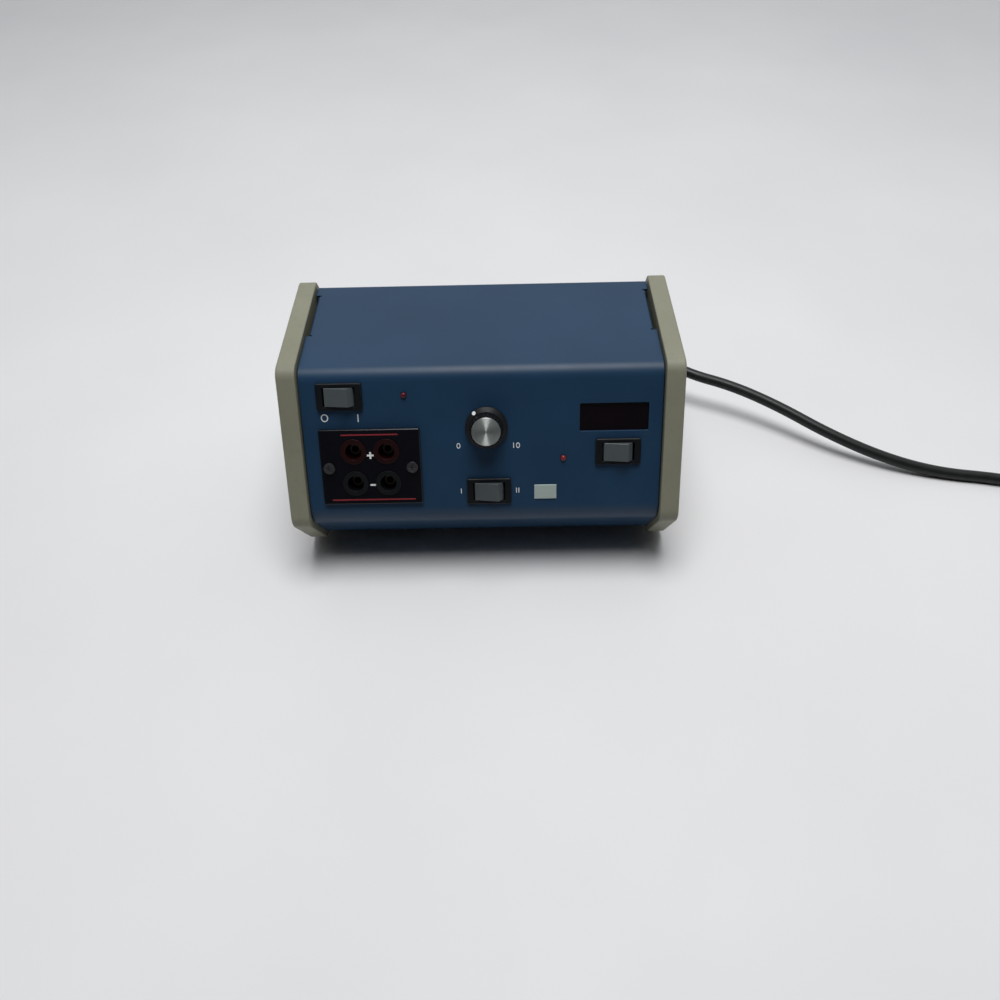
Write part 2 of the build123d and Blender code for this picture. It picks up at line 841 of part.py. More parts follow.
with BuildPart() as knob_body:
    with BuildSketch(knob_base.offset(knob_gap)):
        Circle(knob_skirt_r)
    extrude(amount=knob_skirt_t)
    with BuildSketch(knob_base.offset(knob_gap + knob_skirt_t)):
        Circle(knob_skirt_r)
    with BuildSketch(knob_base.offset(knob_gap + knob_cone_top)):
        Circle(knob_grip_r + 0.4)
    loft()
    with BuildSketch(knob_base.offset(knob_gap + knob_cone_top)):
        Circle(knob_grip_r)
        with PolarLocations(knob_grip_r + 0.1, knob_flutes):
            Circle(knob_flute_r, mode=Mode.SUBTRACT)
    extrude(amount=knob_height - knob_gap - knob_cone_top)
    with BuildSketch(knob_base.offset(knob_height)):
        Circle(knob_cap_r + 0.1)
    extrude(amount=-(knob_cap_t - knob_cap_proud), mode=Mode.SUBTRACT)
    with BuildSketch(knob_base.offset(knob_gap)):
        Circle(knob_hollow_r)
    extrude(amount=knob_hollow_top - knob_gap, mode=Mode.SUBTRACT)
    with BuildSketch(knob_base):
        Circle(shaft_r)
    extrude(amount=shaft_top, mode=Mode.SUBTRACT)
keep(knob_body.part, "knob_body")

with BuildPart() as knob_cap:
    with BuildSketch(knob_base.offset(knob_height - knob_cap_t + knob_cap_proud)):
        Circle(knob_cap_r)
    extrude(amount=knob_cap_t)
    chamfer(knob_cap.faces().sort_by(Axis(knob_base.origin, knob_base.z_dir))[-1].edges(), 0.35)
keep(knob_cap.part, "knob_cap")


# Output plate and jacks
jack_points = [(plate_x + x, plate_s + s) for x, s in jack_offsets]
with BuildPart() as output_plate:
    with BuildSketch(on_front(plate_x, plate_s)):
        RectangleRounded(plate_w, plate_h, 1.0)
        with Locations(*jack_offsets):
            Circle(jack_body_r + hole_clearance, mode=Mode.SUBTRACT)
        with GridLocations(plate_screw_span, 1, 2, 1):
            Circle(small_screw_r + hole_clearance, mode=Mode.SUBTRACT)
    extrude(amount=plate_t)
    plate_rim = output_plate.faces().sort_by(Axis(front_face.origin, front_face.z_dir))[-1]
    chamfer(plate_rim.outer_wire().edges(), 0.5)
keep(output_plate.part, "output_plate")

jack_top = plate_t + jack_flange_t
contact_top = jack_top - jack_well_depth + jack_contact_stand


def jacks(points):
    """Recessed jack bodies, each flanged on the output plate with a well around its contact."""
    with BuildPart() as bodies:
        with BuildSketch(*[on_front(x, s, plate_t) for x, s in points]):
            Circle(jack_flange_r)
        extrude(amount=jack_flange_t)
        with BuildSketch(*[on_front(x, s, plate_t) for x, s in points]):
            Circle(jack_body_r)
        extrude(amount=-jack_length)
        with BuildSketch(*[on_front(x, s, jack_top) for x, s in points]):
            Circle(jack_well_r)
        extrude(amount=-jack_well_depth, mode=Mode.SUBTRACT)
        with BuildSketch(*[on_front(x, s, jack_top) for x, s in points]):
            Circle(jack_contact_r)
        extrude(amount=-2 * jack_length, mode=Mode.SUBTRACT)
    return bodies.part


keep(jacks(jack_points[:2]), "red_jacks")
keep(jacks(jack_points[2:]), "black_jacks")

# Each contact is turned a little, so that the seam of its round faces is off the x direction
seam_turn = math.radians(jack_seam_deg)
seam_dir = front_face.x_dir * math.cos(seam_turn) + front_face.y_dir * math.sin(seam_turn)
contact_planes = [
    Plane(origin=on_front(x, s, contact_top).origin, x_dir=seam_dir, z_dir=front_face.z_dir) for x, s in jack_points
]
with BuildPart() as jack_contacts:
    with BuildSketch(*contact_planes):
        Circle(jack_contact_r)
    extrude(amount=-jack_contact_l)
    with BuildSketch(*contact_planes):
        Circle(jack_bore_r)
    extrude(amount=-jack_bore_l, mode=Mode.SUBTRACT)
keep(jack_contacts.part, "jack_contacts")

with BuildPart() as jack_nuts:
    with BuildSketch(*[on_front(x, s, -sheet_t) for x, s in jack_points]):
        Circle(jack_nut_r)
        Circle(jack_body_r + running_gap, mode=Mode.SUBTRACT)
    extrude(amount=-jack_nut_t)
keep(jack_nuts.part, "jack_nuts")


# Meter, lamps and badge
with BuildPart() as meter_window:
    with BuildSketch(on_front(window_x, window_s, -sheet_t)):
        Rectangle(window_w + 2 * window_lap, window_h + 2 * window_lap)
    extrude(amount=-window_t)
keep(meter_window.part, "meter_window")

post_end = -sheet_t - meter_post_l
with BuildPart() as meter_posts:
    with BuildSketch(on_front(window_x, window_s, -sheet_t)):
        with GridLocations(2 * meter_post_x, 2 * meter_post_s, 2, 2):
            Circle(meter_post_r)
    extrude(amount=-meter_post_l)
    with BuildSketch(on_front(window_x, window_s, post_end)):
        with GridLocations(2 * meter_post_x, 2 * meter_post_s, 2, 2):
            Circle(board_screw_r)
    extrude(amount=board_screw_l, mode=Mode.SUBTRACT)
keep(meter_posts.part, "meter_posts")

with BuildPart() as meter_board:
    with BuildSketch(on_front(window_x, window_s, post_end)):
        Rectangle(meter_board_w, meter_board_h)
        with GridLocations(2 * meter_post_x, 2 * meter_post_s, 2, 2):
            Circle(board_screw_r + hole_clearance, mode=Mode.SUBTRACT)
    extrude(amount=-board_t)
keep(meter_board.part, "meter_board")

with BuildPart() as digit_module:
    with BuildSketch(on_front(window_x, window_s, post_end)):
        Rectangle(digits_w, digits_h)
    extrude(amount=digits_t)
keep(digit_module.part, "digit_module")


def lamp(x, s):
    """A small domed lamp in a hole of the front slope, with a clip ring behind the sheet."""
    return turned(
        on_front(x, s),
        [
            (0, lamp_proud + 0.7),
            (0.55 * lamp_r, lamp_proud + 0.55),
            (0.85 * lamp_r, lamp_proud + 0.25),
            (lamp_r, lamp_proud - 0.2),
            (lamp_r, -sheet_t),
            (lamp_clip_r, -sheet_t),
            (lamp_clip_r, -sheet_t - lamp_clip_t),
            (lamp_r, -sheet_t - lamp_clip_t),
            (lamp_r, -lamp_back),
            (0, -lamp_back),
        ],
    )


keep(lamp(fuse_lamp_x, fuse_lamp_s), "fuse_lamp")
keep(lamp(overload_x, overload_s), "overload_lamp")

with BuildPart() as blank_badge:
    with BuildSketch(on_front(badge_x, badge_s)):
        Rectangle(badge_w, badge_h)
    extrude(amount=badge_t)
    chamfer(blank_badge.faces().sort_by(Axis(front_face.origin, front_face.z_dir))[-1].edges(), 0.2)
keep(blank_badge.part, "blank_badge")


# Transformer
core_mid = Plane(origin=(core_x, core_y, floor_z + core_h / 2), x_dir=(1, 0, 0), z_dir=(0, -1, 0))
core_gap_w = (core_w - 4 * core_leg) / 2
with BuildPart() as transformer_core:
    with BuildSketch(core_mid):
        Rectangle(core_w, core_h)
        with GridLocations(2 * (core_leg + core_gap_w / 2), 1, 2, 1):
            Rectangle(core_gap_w, core_h - 2 * core_leg, mode=Mode.SUBTRACT)
    extrude(amount=core_stack / 2, both=True)
keep(transformer_core.part, "transformer_core")

with BuildPart() as transformer_winding:
    with BuildSketch(Plane(origin=(core_x, core_y, floor_z + core_leg + winding_gap))):
        RectangleRounded(2 * (core_leg + core_gap_w - winding_gap), core_stack + 2 * winding_out, 5.0)
        Rectangle(2 * (core_leg + winding_gap), core_stack + 2 * winding_gap, mode=Mode.SUBTRACT)
    extrude(amount=core_h - 2 * core_leg - 2 * winding_gap)
keep(transformer_winding.part, "transformer_winding")

with BuildPart() as transformer_strap:
    with BuildSketch(Plane(origin=(core_x, core_y, floor_z), x_dir=(1, 0, 0), z_dir=(0, -1, 0))):
        with BuildLine():
            inside, outside = core_w / 2, core_w / 2 + strap_t
            Polyline(
                (-outside - strap_foot, 0),
                (-inside, 0),
                (-inside, core_h),
                (inside, core_h),
                (inside, 0),
                (outside + strap_foot, 0),
                (outside + strap_foot, strap_t),
                (outside, strap_t),
                (outside, core_h + strap_t),
                (-outside, core_h + strap_t),
                (-outside, strap_t),
                (-outside - strap_foot, strap_t),
                close=True,
            )
        make_face()
    extrude(amount=core_stack / 2 - 3.0, both=True)
    with Locations(*floor_planes(strap_points, floor_z + strap_t)):
        Hole(screw_r + hole_clearance, depth=2 * strap_t)
keep(transformer_strap.part, "transformer_strap")


# Main board
board_z = floor_z + standoff_h
board_top = board_z + board_t
with BuildPart() as main_board:
    with BuildSketch(Plane(origin=(board_x, board_y, board_z))):
        Rectangle(board_w, board_d)
        with GridLocations(board_w - 2 * board_hole_inset, board_d - 2 * board_hole_inset, 2, 2):
            Circle(board_screw_r + hole_clearance, mode=Mode.SUBTRACT)
    extrude(amount=board_t)
keep(main_board.part, "main_board")

with BuildPart() as board_standoffs:
    with BuildSketch(*floor_planes(standoff_points, floor_z)):
        Circle(standoff_r)
    extrude(amount=standoff_h)
    with BuildSketch(*floor_planes(standoff_points, floor_z)):
        Circle(small_screw_r + hole_clearance)
    extrude(amount=-sheet_t)
    with BuildSketch(*floor_planes(standoff_points, board_z)):
        Circle(board_screw_r)
    extrude(amount=-board_screw_l, mode=Mode.SUBTRACT)
keep(board_standoffs.part, "board_standoffs")

meter_screw_planes = facing(
    [
        on_front(window_x + i * meter_post_x, window_s + j * meter_post_s, post_end - board_t)
        for i in (-1, 1)
        for j in (-1, 1)
    ],
    turned=True,
)
board_screws = pan_screws(
    floor_planes(standoff_points, board_top) + meter_screw_planes,
    board_screw_r - running_gap,
    board_t + board_screw_l - 0.6,
    board_head_r,
    board_head_t,
)
keep(board_screws, "board_screws")

with BuildPart() as capacitors:
    with BuildSketch(*floor_planes(big_capacitor_points, board_top)):
        Circle(capacitor_r)
    extrude(amount=capacitor_h)
    with BuildSketch(*floor_planes(small_capacitor_points, board_top)):
        Circle(small_capacitor_r)
    extrude(amount=small_capacitor_h)
keep(capacitors.part, "capacitors")

with BuildPart() as heat_sink:
    with BuildSketch(Plane(origin=(sink_x, rear_outer_y, sink_z - sink_h / 2))):
        with Locations((0, sink_base_t / 2)):
            Rectangle(sink_w, sink_base_t)
        fin_pitch = (sink_w - sink_fin_t) / (sink_fins - 1)
        with Locations((0, sink_base_t + sink_fin_l / 2)):
            with GridLocations(fin_pitch, 1, sink_fins, 1):
                Rectangle(sink_fin_t, sink_fin_l)
    extrude(amount=sink_h)
    with BuildSketch(*[p.offset(-sink_base_t) for p in sink_planes]):
        Circle(small_screw_r + hole_clearance)
    extrude(amount=sink_base_t, mode=Mode.SUBTRACT)
keep(heat_sink.part, "heat_sink")

with BuildPart() as power_transistors:
    transistor_points = [
        (sink_x + i * transistor_pitch, rear_inner_y - transistor_t / 2) for i in (-1, 0, 1)
    ]
    with BuildSketch(*floor_planes(transistor_points, board_top + transistor_leg_l)):
        Rectangle(transistor_w, transistor_t)
    extrude(amount=transistor_h)
    with BuildSketch(*floor_planes(transistor_points, board_top)):
        with GridLocations(2.54, 1, 3, 1):
            Rectangle(0.8, 0.6)
    extrude(amount=transistor_leg_l)
keep(power_transistors.part, "power_transistors")


# Fuse holder, its nut, the fuse and its cap
fuse_base = on_rear(fuse_x, fuse_z)
mouth_floor = fuse_flange_t - fuse_mouth_depth
stem_end = mouth_floor + 0.4
stem_r = fuse_mouth_r - 2 * running_gap
fuse_top = stem_end + 5.0
fuse_bottom = fuse_top - fuse_l
holder = turned(
    fuse_base,
    [
        (fuse_mouth_r, fuse_flange_t),
        (fuse_flange_r, fuse_flange_t),
        (fuse_flange_r, 0),
        (fuse_body_r, 0),
        (fuse_body_r, -fuse_body_l),
        (0, -fuse_body_l),
        (0, fuse_bottom - 0.4),
        (fuse_bore_r, fuse_bottom - 0.4),
        (fuse_bore_r, mouth_floor),
        (fuse_mouth_r, mouth_floor),
    ],
)
keep(holder, "fuse_holder")
fuse_nut = hex_nuts(
    facing([on_rear(fuse_x, fuse_z, -sheet_t)], turned=True), fuse_nut_flats, nut_t, fuse_body_r + running_gap
)
keep(fuse_nut, "fuse_nut")
fuse = turned(
    fuse_base,
    [
        (0, fuse_top),
        (fuse_r, fuse_top),
        (fuse_r, fuse_top - fuse_end_l),
        (fuse_glass_r, fuse_top - fuse_end_l),
        (fuse_glass_r, fuse_bottom + fuse_end_l),
        (fuse_r, fuse_bottom + fuse_end_l),
        (fuse_r, fuse_bottom),
        (0, fuse_bottom),
    ],
)
keep(fuse, "fuse")

cap_bottom = fuse_flange_t + 0.1
cap_top = cap_bottom + fuse_cap_t
with BuildPart() as fuse_cap:
    with BuildSketch(fuse_base.offset(cap_bottom)):
        Circle(fuse_cap_r)
    extrude(amount=fuse_cap_t)
    chamfer(fuse_cap.faces().sort_by(Axis(fuse_base.origin, fuse_base.z_dir))[-1].edges(), 0.8)
    with BuildSketch(fuse_base.offset(cap_bottom)):
        Circle(stem_r)
    extrude(amount=stem_end - cap_bottom)
    with BuildSketch(fuse_base.offset(stem_end)):
        Circle(fuse_r + running_gap)
    extrude(amount=fuse_top - stem_end + 0.3, mode=Mode.SUBTRACT)
    with BuildSketch(fuse_base.offset(cap_top)):
        Rectangle(1.4 * fuse_cap_r, 1.4)
    extrude(amount=-1.8, mode=Mode.SUBTRACT)
keep(fuse_cap.part, "fuse_cap")


# Mains cord: strain relief, free run, coil, tail and plug
relief_base = on_rear(cord_exit_x, cord_exit_z)
cord_r = cord_d / 2
relief = turned(
    relief_base,
    [
        (cord_r, -sheet_t - 2.5),
        (relief_base_r - 0.4, -sheet_t - 2.5),
        (relief_base_r - 0.4, -sheet_t),
        (relief_neck_r, -sheet_t),
        (relief_neck_r, 0),
        (relief_base_r, 0),
        (relief_base_r, 2.2),
        (relief_root_r, 3.0),
        (relief_tip_r, relief_l),
        (cord_r, relief_l),
    ],
)
keep(relief, "strain_relief")

exit_point = relief_base.origin
exit_dir = relief_base.z_dir
coil_outer_r = coil_mean_r + cord_d
entry_angle = math.radians(cord_entry_deg)
coil_entry = (coil_x + coil_outer_r * math.cos(entry_angle), coil_y + coil_outer_r * math.sin(entry_angle), cord_r)
cord_route = [
    tuple(exit_point),
    tuple(exit_point + exit_dir * 28.0),
    (-28.5, 97, 50),
    (-16, 119, 48.5),
    (7, 132, 45.5),
    (36, 136, 42),
    (66, 127, 37.5),
    (94, 110, 33),
    (121.5, 88, 29.3),
    (149, 67.2, 25.5),
    (179, 54.8, 24),
    (209, 36, 20.5),
    (241, 12, 14.5),
    (276, -6, 8),
    (311, -17, cord_r),
    (349, -23, cord_r),
    (379.5, -32.5, cord_r),
    coil_entry,
]


def cord_radii(route):
    """Arc radius at each inner point of a route: 0.45 of its shorter run over the tangent of half its turn."""
    radii = []
    for before, here, after in zip(route, route[1:], route[2:]):
        run_in = Vector(*here) - Vector(*before)
        run_out = Vector(*after) - Vector(*here)
        half_turn = math.radians(run_in.get_angle(run_out)) / 2
        radii.append(0.45 * min(run_in.length, run_out.length) / math.tan(half_turn))
    return radii


def cord_tube(route):
    """A round tube along straight runs joined by tangent arcs, and the length of that path."""
    radii = cord_radii(route)
    with BuildPart() as tube:
        with BuildLine() as line:
            FilletPolyline(*route, radius=radii)
        path = line.wire()
        with BuildSketch(Plane(origin=path @ 0, z_dir=path % 0)):
            Circle(cord_r)
        sweep(path=path)
    ideal = math.pi * cord_r**2 * path.length
    print("cord radii", [round(r, 1) for r in radii], "length", round(path.length, 1))
    print("tube volume over section times length", round(tube.part.volume / ideal, 5))
    return tube.part, path.length


mains_cord, cord_run = cord_tube(cord_route)
keep(mains_cord, "mains_cord")

with BuildPart() as cord_coil:
    with BuildSketch(Plane(origin=(coil_x, coil_y, 0), x_dir=(1, 0, 0), z_dir=(0, -1, 0))):
        with Locations((coil_mean_r, coil_section_h / 2)):
            RectangleRounded(coil_section_w, coil_section_h, cord_r - 0.3)
    revolve(axis=Axis((coil_x, coil_y, 0), (0, 0, 1)))
keep(cord_coil.part, "cord_coil")

plug_mid_z = plug_h / 2
coil_top_z = coil_section_h - cord_r - 0.2
tail_route = [
    (coil_x + coil_outer_r - 3.8, coil_y + 4, coil_top_z),
    (coil_x + coil_outer_r - 2.1, coil_y + 24, coil_top_z + 1.2),
    (coil_x + coil_outer_r - 1.6, coil_y + 45, plug_mid_z - 0.2),
    (coil_x + coil_outer_r - 4, coil_y + 65, plug_mid_z),
]
cord_tail, tail_run = cord_tube(tail_route)
keep(cord_tail, "cord_tail")
print("cord length in the coil", round(cord_length - cord_run - tail_run, 1))

plug_base = Plane(
    origin=tail_route[-1],
    x_dir=(0, 0, 1),
    z_dir=Vector(*tail_route[-1]) - Vector(*tail_route[-2]),
)
with BuildPart() as plug_body:
    with BuildSketch(plug_base):
        Circle(plug_boot_tip_r)
    with BuildSketch(plug_base.offset(plug_boot_l)):
        Circle(plug_boot_root_r)
    loft()
    with BuildSketch(plug_base.offset(plug_boot_l)):
        RectangleRounded(plug_h - 6.0, plug_w - 7.0, 5.0)
    with BuildSketch(plug_base.offset(plug_boot_l + 0.45 * plug_l)):
        RectangleRounded(plug_h - 1.0, plug_w, 6.0)
    loft()
    with BuildSketch(plug_base.offset(plug_boot_l + 0.45 * plug_l)):
        RectangleRounded(plug_h - 1.0, plug_w, 6.0)
    extrude(amount=0.55 * plug_l)
    plug_face = plug_body.faces().sort_by(Axis(plug_base.origin, plug_base.z_dir))[-1]
    fillet(plug_face.edges(), 1.2)
keep(plug_body.part, "plug_body")

with BuildPart() as plug_pins:
    with BuildSketch(plug_base.offset(plug_boot_l + plug_l)):
        with Locations((-plug_earth_drop / 2, -plug_pin_pitch / 2), (-plug_earth_drop / 2, plug_pin_pitch / 2)):
            Rectangle(pin_w, pin_t)
    extrude(amount=pin_l)
    with BuildSketch(plug_base.offset(plug_boot_l + plug_l)):
        with Locations((plug_earth_drop / 2, 0)):
            Circle(earth_pin_r)
    extrude(amount=pin_l + 3.0)
keep(plug_pins.part, "plug_pins")
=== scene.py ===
import json
import math

import bmesh
import bpy
from mathutils import Matrix, Vector


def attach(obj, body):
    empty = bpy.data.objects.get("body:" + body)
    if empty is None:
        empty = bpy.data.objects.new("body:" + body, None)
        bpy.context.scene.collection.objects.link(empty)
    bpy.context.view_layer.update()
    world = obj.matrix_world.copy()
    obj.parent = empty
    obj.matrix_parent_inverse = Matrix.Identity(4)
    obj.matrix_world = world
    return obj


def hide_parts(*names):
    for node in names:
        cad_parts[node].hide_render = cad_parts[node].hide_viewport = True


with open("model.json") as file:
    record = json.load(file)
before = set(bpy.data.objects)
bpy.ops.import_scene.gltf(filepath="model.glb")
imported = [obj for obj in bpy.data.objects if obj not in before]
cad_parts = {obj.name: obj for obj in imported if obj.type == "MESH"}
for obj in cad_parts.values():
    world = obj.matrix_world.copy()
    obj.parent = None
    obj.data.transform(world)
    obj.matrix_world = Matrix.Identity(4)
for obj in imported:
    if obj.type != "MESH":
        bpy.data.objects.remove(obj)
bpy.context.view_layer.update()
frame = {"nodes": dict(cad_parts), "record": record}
nodes = frame["nodes"]

MM = 0.001

# Front slope of the case: x across, s up the slope from its lower edge, out of the sheet
LEAN = math.radians(30)
FRONT_EDGE_Y = -85.247
FRONT_EDGE_Z = 46.0
ACROSS = Vector((1, 0, 0))
UP_SLOPE = Vector((0, math.sin(LEAN), math.cos(LEAN)))
OUT = Vector((0, -math.cos(LEAN), math.sin(LEAN)))


def on_front(x, s, out=0.0):
    """Point on the front slope, from millimetres to metres."""
    edge = Vector((0, FRONT_EDGE_Y, FRONT_EDGE_Z))
    return (edge + ACROSS * x + UP_SLOPE * s + OUT * out) * MM


def front_matrix(x, s, out=0.0):
    """Frame on the front slope: X across, Y up the slope, Z out of the sheet."""
    turn = Matrix((ACROSS, UP_SLOPE, OUT)).transposed()
    return Matrix.Translation(on_front(x, s, out)) @ turn.to_4x4()


# Camera, solved from the case's corners in the photograph
CAMERA_MM = Vector((14.170, -379.562, 400.773))
FOCAL_PX = 775.014
FRAME_PX = 1000
SENSOR_MM = 36.0
PITCH, YAW, ROLL = (math.radians(a) for a in (49.0208, 0.91558, -1.70912))


def make_camera():
    """Camera at the solved place; the solved axes point right, down and away from it."""
    table_to_picture = Matrix(((1, 0, 0), (0, 0, -1), (0, 1, 0)))
    pan = Matrix.Rotation(-YAW, 3, "Z")
    tilt = Matrix.Rotation(PITCH, 3, "X")
    roll = Matrix.Rotation(ROLL, 3, "Z")
    look = roll @ tilt @ table_to_picture @ pan
    turn = Matrix((look[0], -look[1], -look[2])).transposed()
    data = bpy.data.cameras.new("camera")
    data.sensor_width = SENSOR_MM
    data.lens = FOCAL_PX * SENSOR_MM / FRAME_PX
    data.clip_start = 0.01
    camera = bpy.data.objects.new("camera", data)
    camera.matrix_world = Matrix.Translation(CAMERA_MM * MM) @ turn.to_4x4()
    bpy.context.scene.collection.objects.link(camera)
    bpy.context.scene.camera = camera


# Materials
class Shader:
    """A node material with short calls for the nodes that every finish here uses."""

    def __init__(self, name):
        self.material = bpy.data.materials.new(name)
        self.material.use_nodes = True
        self.tree = self.material.node_tree
        self.bsdf = self.tree.nodes["Principled BSDF"]
        self.place = self.add("ShaderNodeTexCoord").outputs["Object"]

    def add(self, kind, **inputs):
        node = self.tree.nodes.new(kind)
        for key, value in inputs.items():
            node.inputs[key].default_value = value
        return node

    def link(self, source, target):
        self.tree.links.new(source, target)

    def set(self, **values):
        for key, value in values.items():
            self.bsdf.inputs[key.replace("_", " ")].default_value = value

    def noise(self, size_mm, detail=2.0, stretch=None):
        """Noise with features of about a size; stretch divides the frequency along each axis."""
        node = self.add("ShaderNodeTexNoise", Scale=1.0 / (size_mm * MM), Detail=detail, Roughness=0.5)
        source = self.place
        if stretch:
            mapping = self.add("ShaderNodeMapping")
            mapping.inputs["Scale"].default_value = [1.0 / v for v in stretch]
            self.link(source, mapping.inputs["Vector"])
            source = mapping.outputs["Vector"]
        self.link(source, node.inputs["Vector"])
        return node.outputs["Fac"]

    def span(self, source, low, high, start=0.3, end=0.7):
        """Map a 0 to 1 source to a range."""
        node = self.add("ShaderNodeMapRange")
        node.inputs["From Min"].default_value = start
        node.inputs["From Max"].default_value = end
        node.inputs["To Min"].default_value = low
        node.inputs["To Max"].default_value = high
        self.link(source, node.inputs["Value"])
        return node.outputs["Result"]

    def blend(self, factor, first, second):
        """Mix two colours, each a tuple or a socket."""
        node = self.add("ShaderNodeMix")
        node.data_type = "RGBA"
        self.link(factor, node.inputs["Factor"])
        for socket, value in ((node.inputs["A"], first), (node.inputs["B"], second)):
            if isinstance(value, tuple):
                socket.default_value = (*value, 1.0)
            else:
                self.link(value, socket)
        return node.outputs["Result"]

    def color(self, source):
        self.link(source, self.bsdf.inputs["Base Color"])

    def rough(self, source, low, high):
        """Roughness that follows a source."""
        self.link(self.span(source, low, high), self.bsdf.inputs["Roughness"])

    def edges(self, radius_mm):
        """Factor of 1 on edges and 0 elsewhere, and the rounded normal that it comes from."""
        bevel = self.add("ShaderNodeBevel", Radius=radius_mm * MM)
        bevel.samples = 4
        shape = self.add("ShaderNodeNewGeometry")
        dot = self.add("ShaderNodeVectorMath")
        dot.operation = "DOT_PRODUCT"
        self.link(bevel.outputs["Normal"], dot.inputs[0])
        self.link(shape.outputs["Normal"], dot.inputs[1])
        return self.span(dot.outputs["Value"], 1.0, 0.0, 0.75, 0.995), bevel.outputs["Normal"]

    def bump(self, heights, soft_edge=None):
        """Chain of bumps, each (height socket, depth in millimetres)."""
        normal = soft_edge
        for height, depth in heights:
            node = self.add("ShaderNodeBump", Strength=1.0, Distance=depth * MM)
            self.link(height, node.inputs["Height"])
            if normal:
                self.link(normal, node.inputs["Normal"])
            normal = node.outputs["Normal"]
        if normal:
            self.link(normal, self.bsdf.inputs["Normal"])


def toned(color, gain):
    return tuple(min(1.0, c * gain) for c in color)


def plain_finish(name, color, rough, vary=0.12, grain_mm=0.5, grain_depth=0.01, edge_gain=1.35, **fixed):
    """Moulded or painted finish: mottled colour, uneven gloss, a fine grain and softened, lighter edges."""
    shader = Shader(name)
    shader.set(**fixed)
    mottle = shader.noise(30, detail=4)
    fine = shader.noise(grain_mm, detail=3)
    base = shader.blend(shader.span(mottle, 0, 1), toned(color, 1 - vary), toned(color, 1 + vary))
    worn, soft = shader.edges(0.35)
    shader.color(shader.blend(worn, base, toned(color, edge_gain)))
    shader.rough(shader.noise(7, detail=4), rough * 0.85, rough * 1.15)
    shader.bump([(fine, grain_depth)], soft)
    return shader.material


def metal_finish(name, color, rough, stretch=None):
    """Plated or machined metal with fine lines, smudges and bright edges."""
    shader = Shader(name)
    shader.set(Metallic=1.0)
    smudge = shader.noise(9, detail=4)
    lines = shader.noise(0.6, detail=2, stretch=stretch)
    base = shader.blend(shader.span(smudge, 0, 1), toned(color, 0.82), toned(color, 1.05))
    worn, soft = shader.edges(0.25)
    shader.color(shader.blend(worn, base, toned(color, 1.25)))
    shader.rough(lines, rough * 0.7, rough * 1.3)
    shader.bump([(lines, 0.004)], soft)
    return shader.material


BLUE = (0.0105, 0.0385, 0.084)
PUTTY = (0.222, 0.220, 0.162)
WHITE_INK = (0.80, 0.82, 0.82)
RED_INK = (0.24, 0.010, 0.018)


def blue_paint():
    shader = Shader("blue_paint")
    shader.set(Specular_IOR_Level=0.28)
    mottle = shader.noise(45, detail=5)
    orange_peel = shader.noise(1.1, detail=2)
    speck = shader.noise(0.35, detail=1)
    base = shader.blend(shader.span(mottle, 0, 1), toned(BLUE, 0.92), toned(BLUE, 1.08))
    worn, soft = shader.edges(0.45)
    shader.color(shader.blend(worn, base, toned(BLUE, 1.5)))
    shader.rough(shader.noise(12, detail=5), 0.39, 0.43)
    shader.bump([(orange_peel, 0.012), (speck, 0.004)], soft)
    return shader.material


def putty_plastic():
    shader = Shader("putty_plastic")
    shader.set(Specular_IOR_Level=0.4)
    mottle = shader.noise(35, detail=5)
    grain = shader.noise(0.55, detail=2)
    base = shader.blend(shader.span(mottle, 0, 1), toned(PUTTY, 0.93), toned(PUTTY, 1.05))
    grime = shader.span(shader.noise(4, detail=6), 0, 0.35, 0.55, 0.75)
    dirty = shader.blend(grime, base, toned(PUTTY, 0.78))
    worn, soft = shader.edges(0.6)
    shader.color(shader.blend(worn, dirty, toned(PUTTY, 1.12)))
    shader.rough(shader.noise(10, detail=4), 0.46, 0.58)
    shader.bump([(grain, 0.02)], soft)
    return shader.material


def cord_rubber():
    shader = Shader("cord_rubber")
    shader.set(Specular_IOR_Level=0.3)
    color = (0.009, 0.0105, 0.0105)
    dust = shader.span(shader.noise(6, detail=6), 0, 0.5, 0.5, 0.8)
    shader.color(shader.blend(dust, color, toned(color, 2.2)))
    shader.rough(shader.noise(14, detail=3), 0.34, 0.46)
    shader.bump([(shader.noise(1.4, detail=3), 0.02)])
    return shader.material


def spun_aluminium():
    """Turned face with fine rings, whose gloss spreads across them."""
    shader = Shader("spun_aluminium")
    shader.set(Metallic=1.0, Anisotropic=0.95, Anisotropic_Rotation=0.25)
    rings = shader.add("ShaderNodeTexWave", Scale=1.0 / (1.1 * MM))
    rings.wave_type = "RINGS"
    rings.rings_direction = "Z"
    shader.link(shader.place, rings.inputs["Vector"])
    around = shader.add("ShaderNodeTangent")
    around.direction_type = "RADIAL"
    around.axis = "Z"
    shader.link(around.outputs["Tangent"], shader.bsdf.inputs["Tangent"])
    smudge = shader.span(shader.noise(5, detail=4), 0, 1)
    shader.color(shader.blend(smudge, (0.39, 0.42, 0.405), (0.51, 0.54, 0.525)))
    shader.link(shader.span(rings.outputs["Fac"], 0.48, 0.56, 0.0, 1.0), shader.bsdf.inputs["Roughness"])
    shader.bump([(rings.outputs["Fac"], 0.002)])
    return shader.material


SPECIAL_FINISHES = {"blue_paint": blue_paint, "putty_plastic": putty_plastic, "black_rubber": cord_rubber}

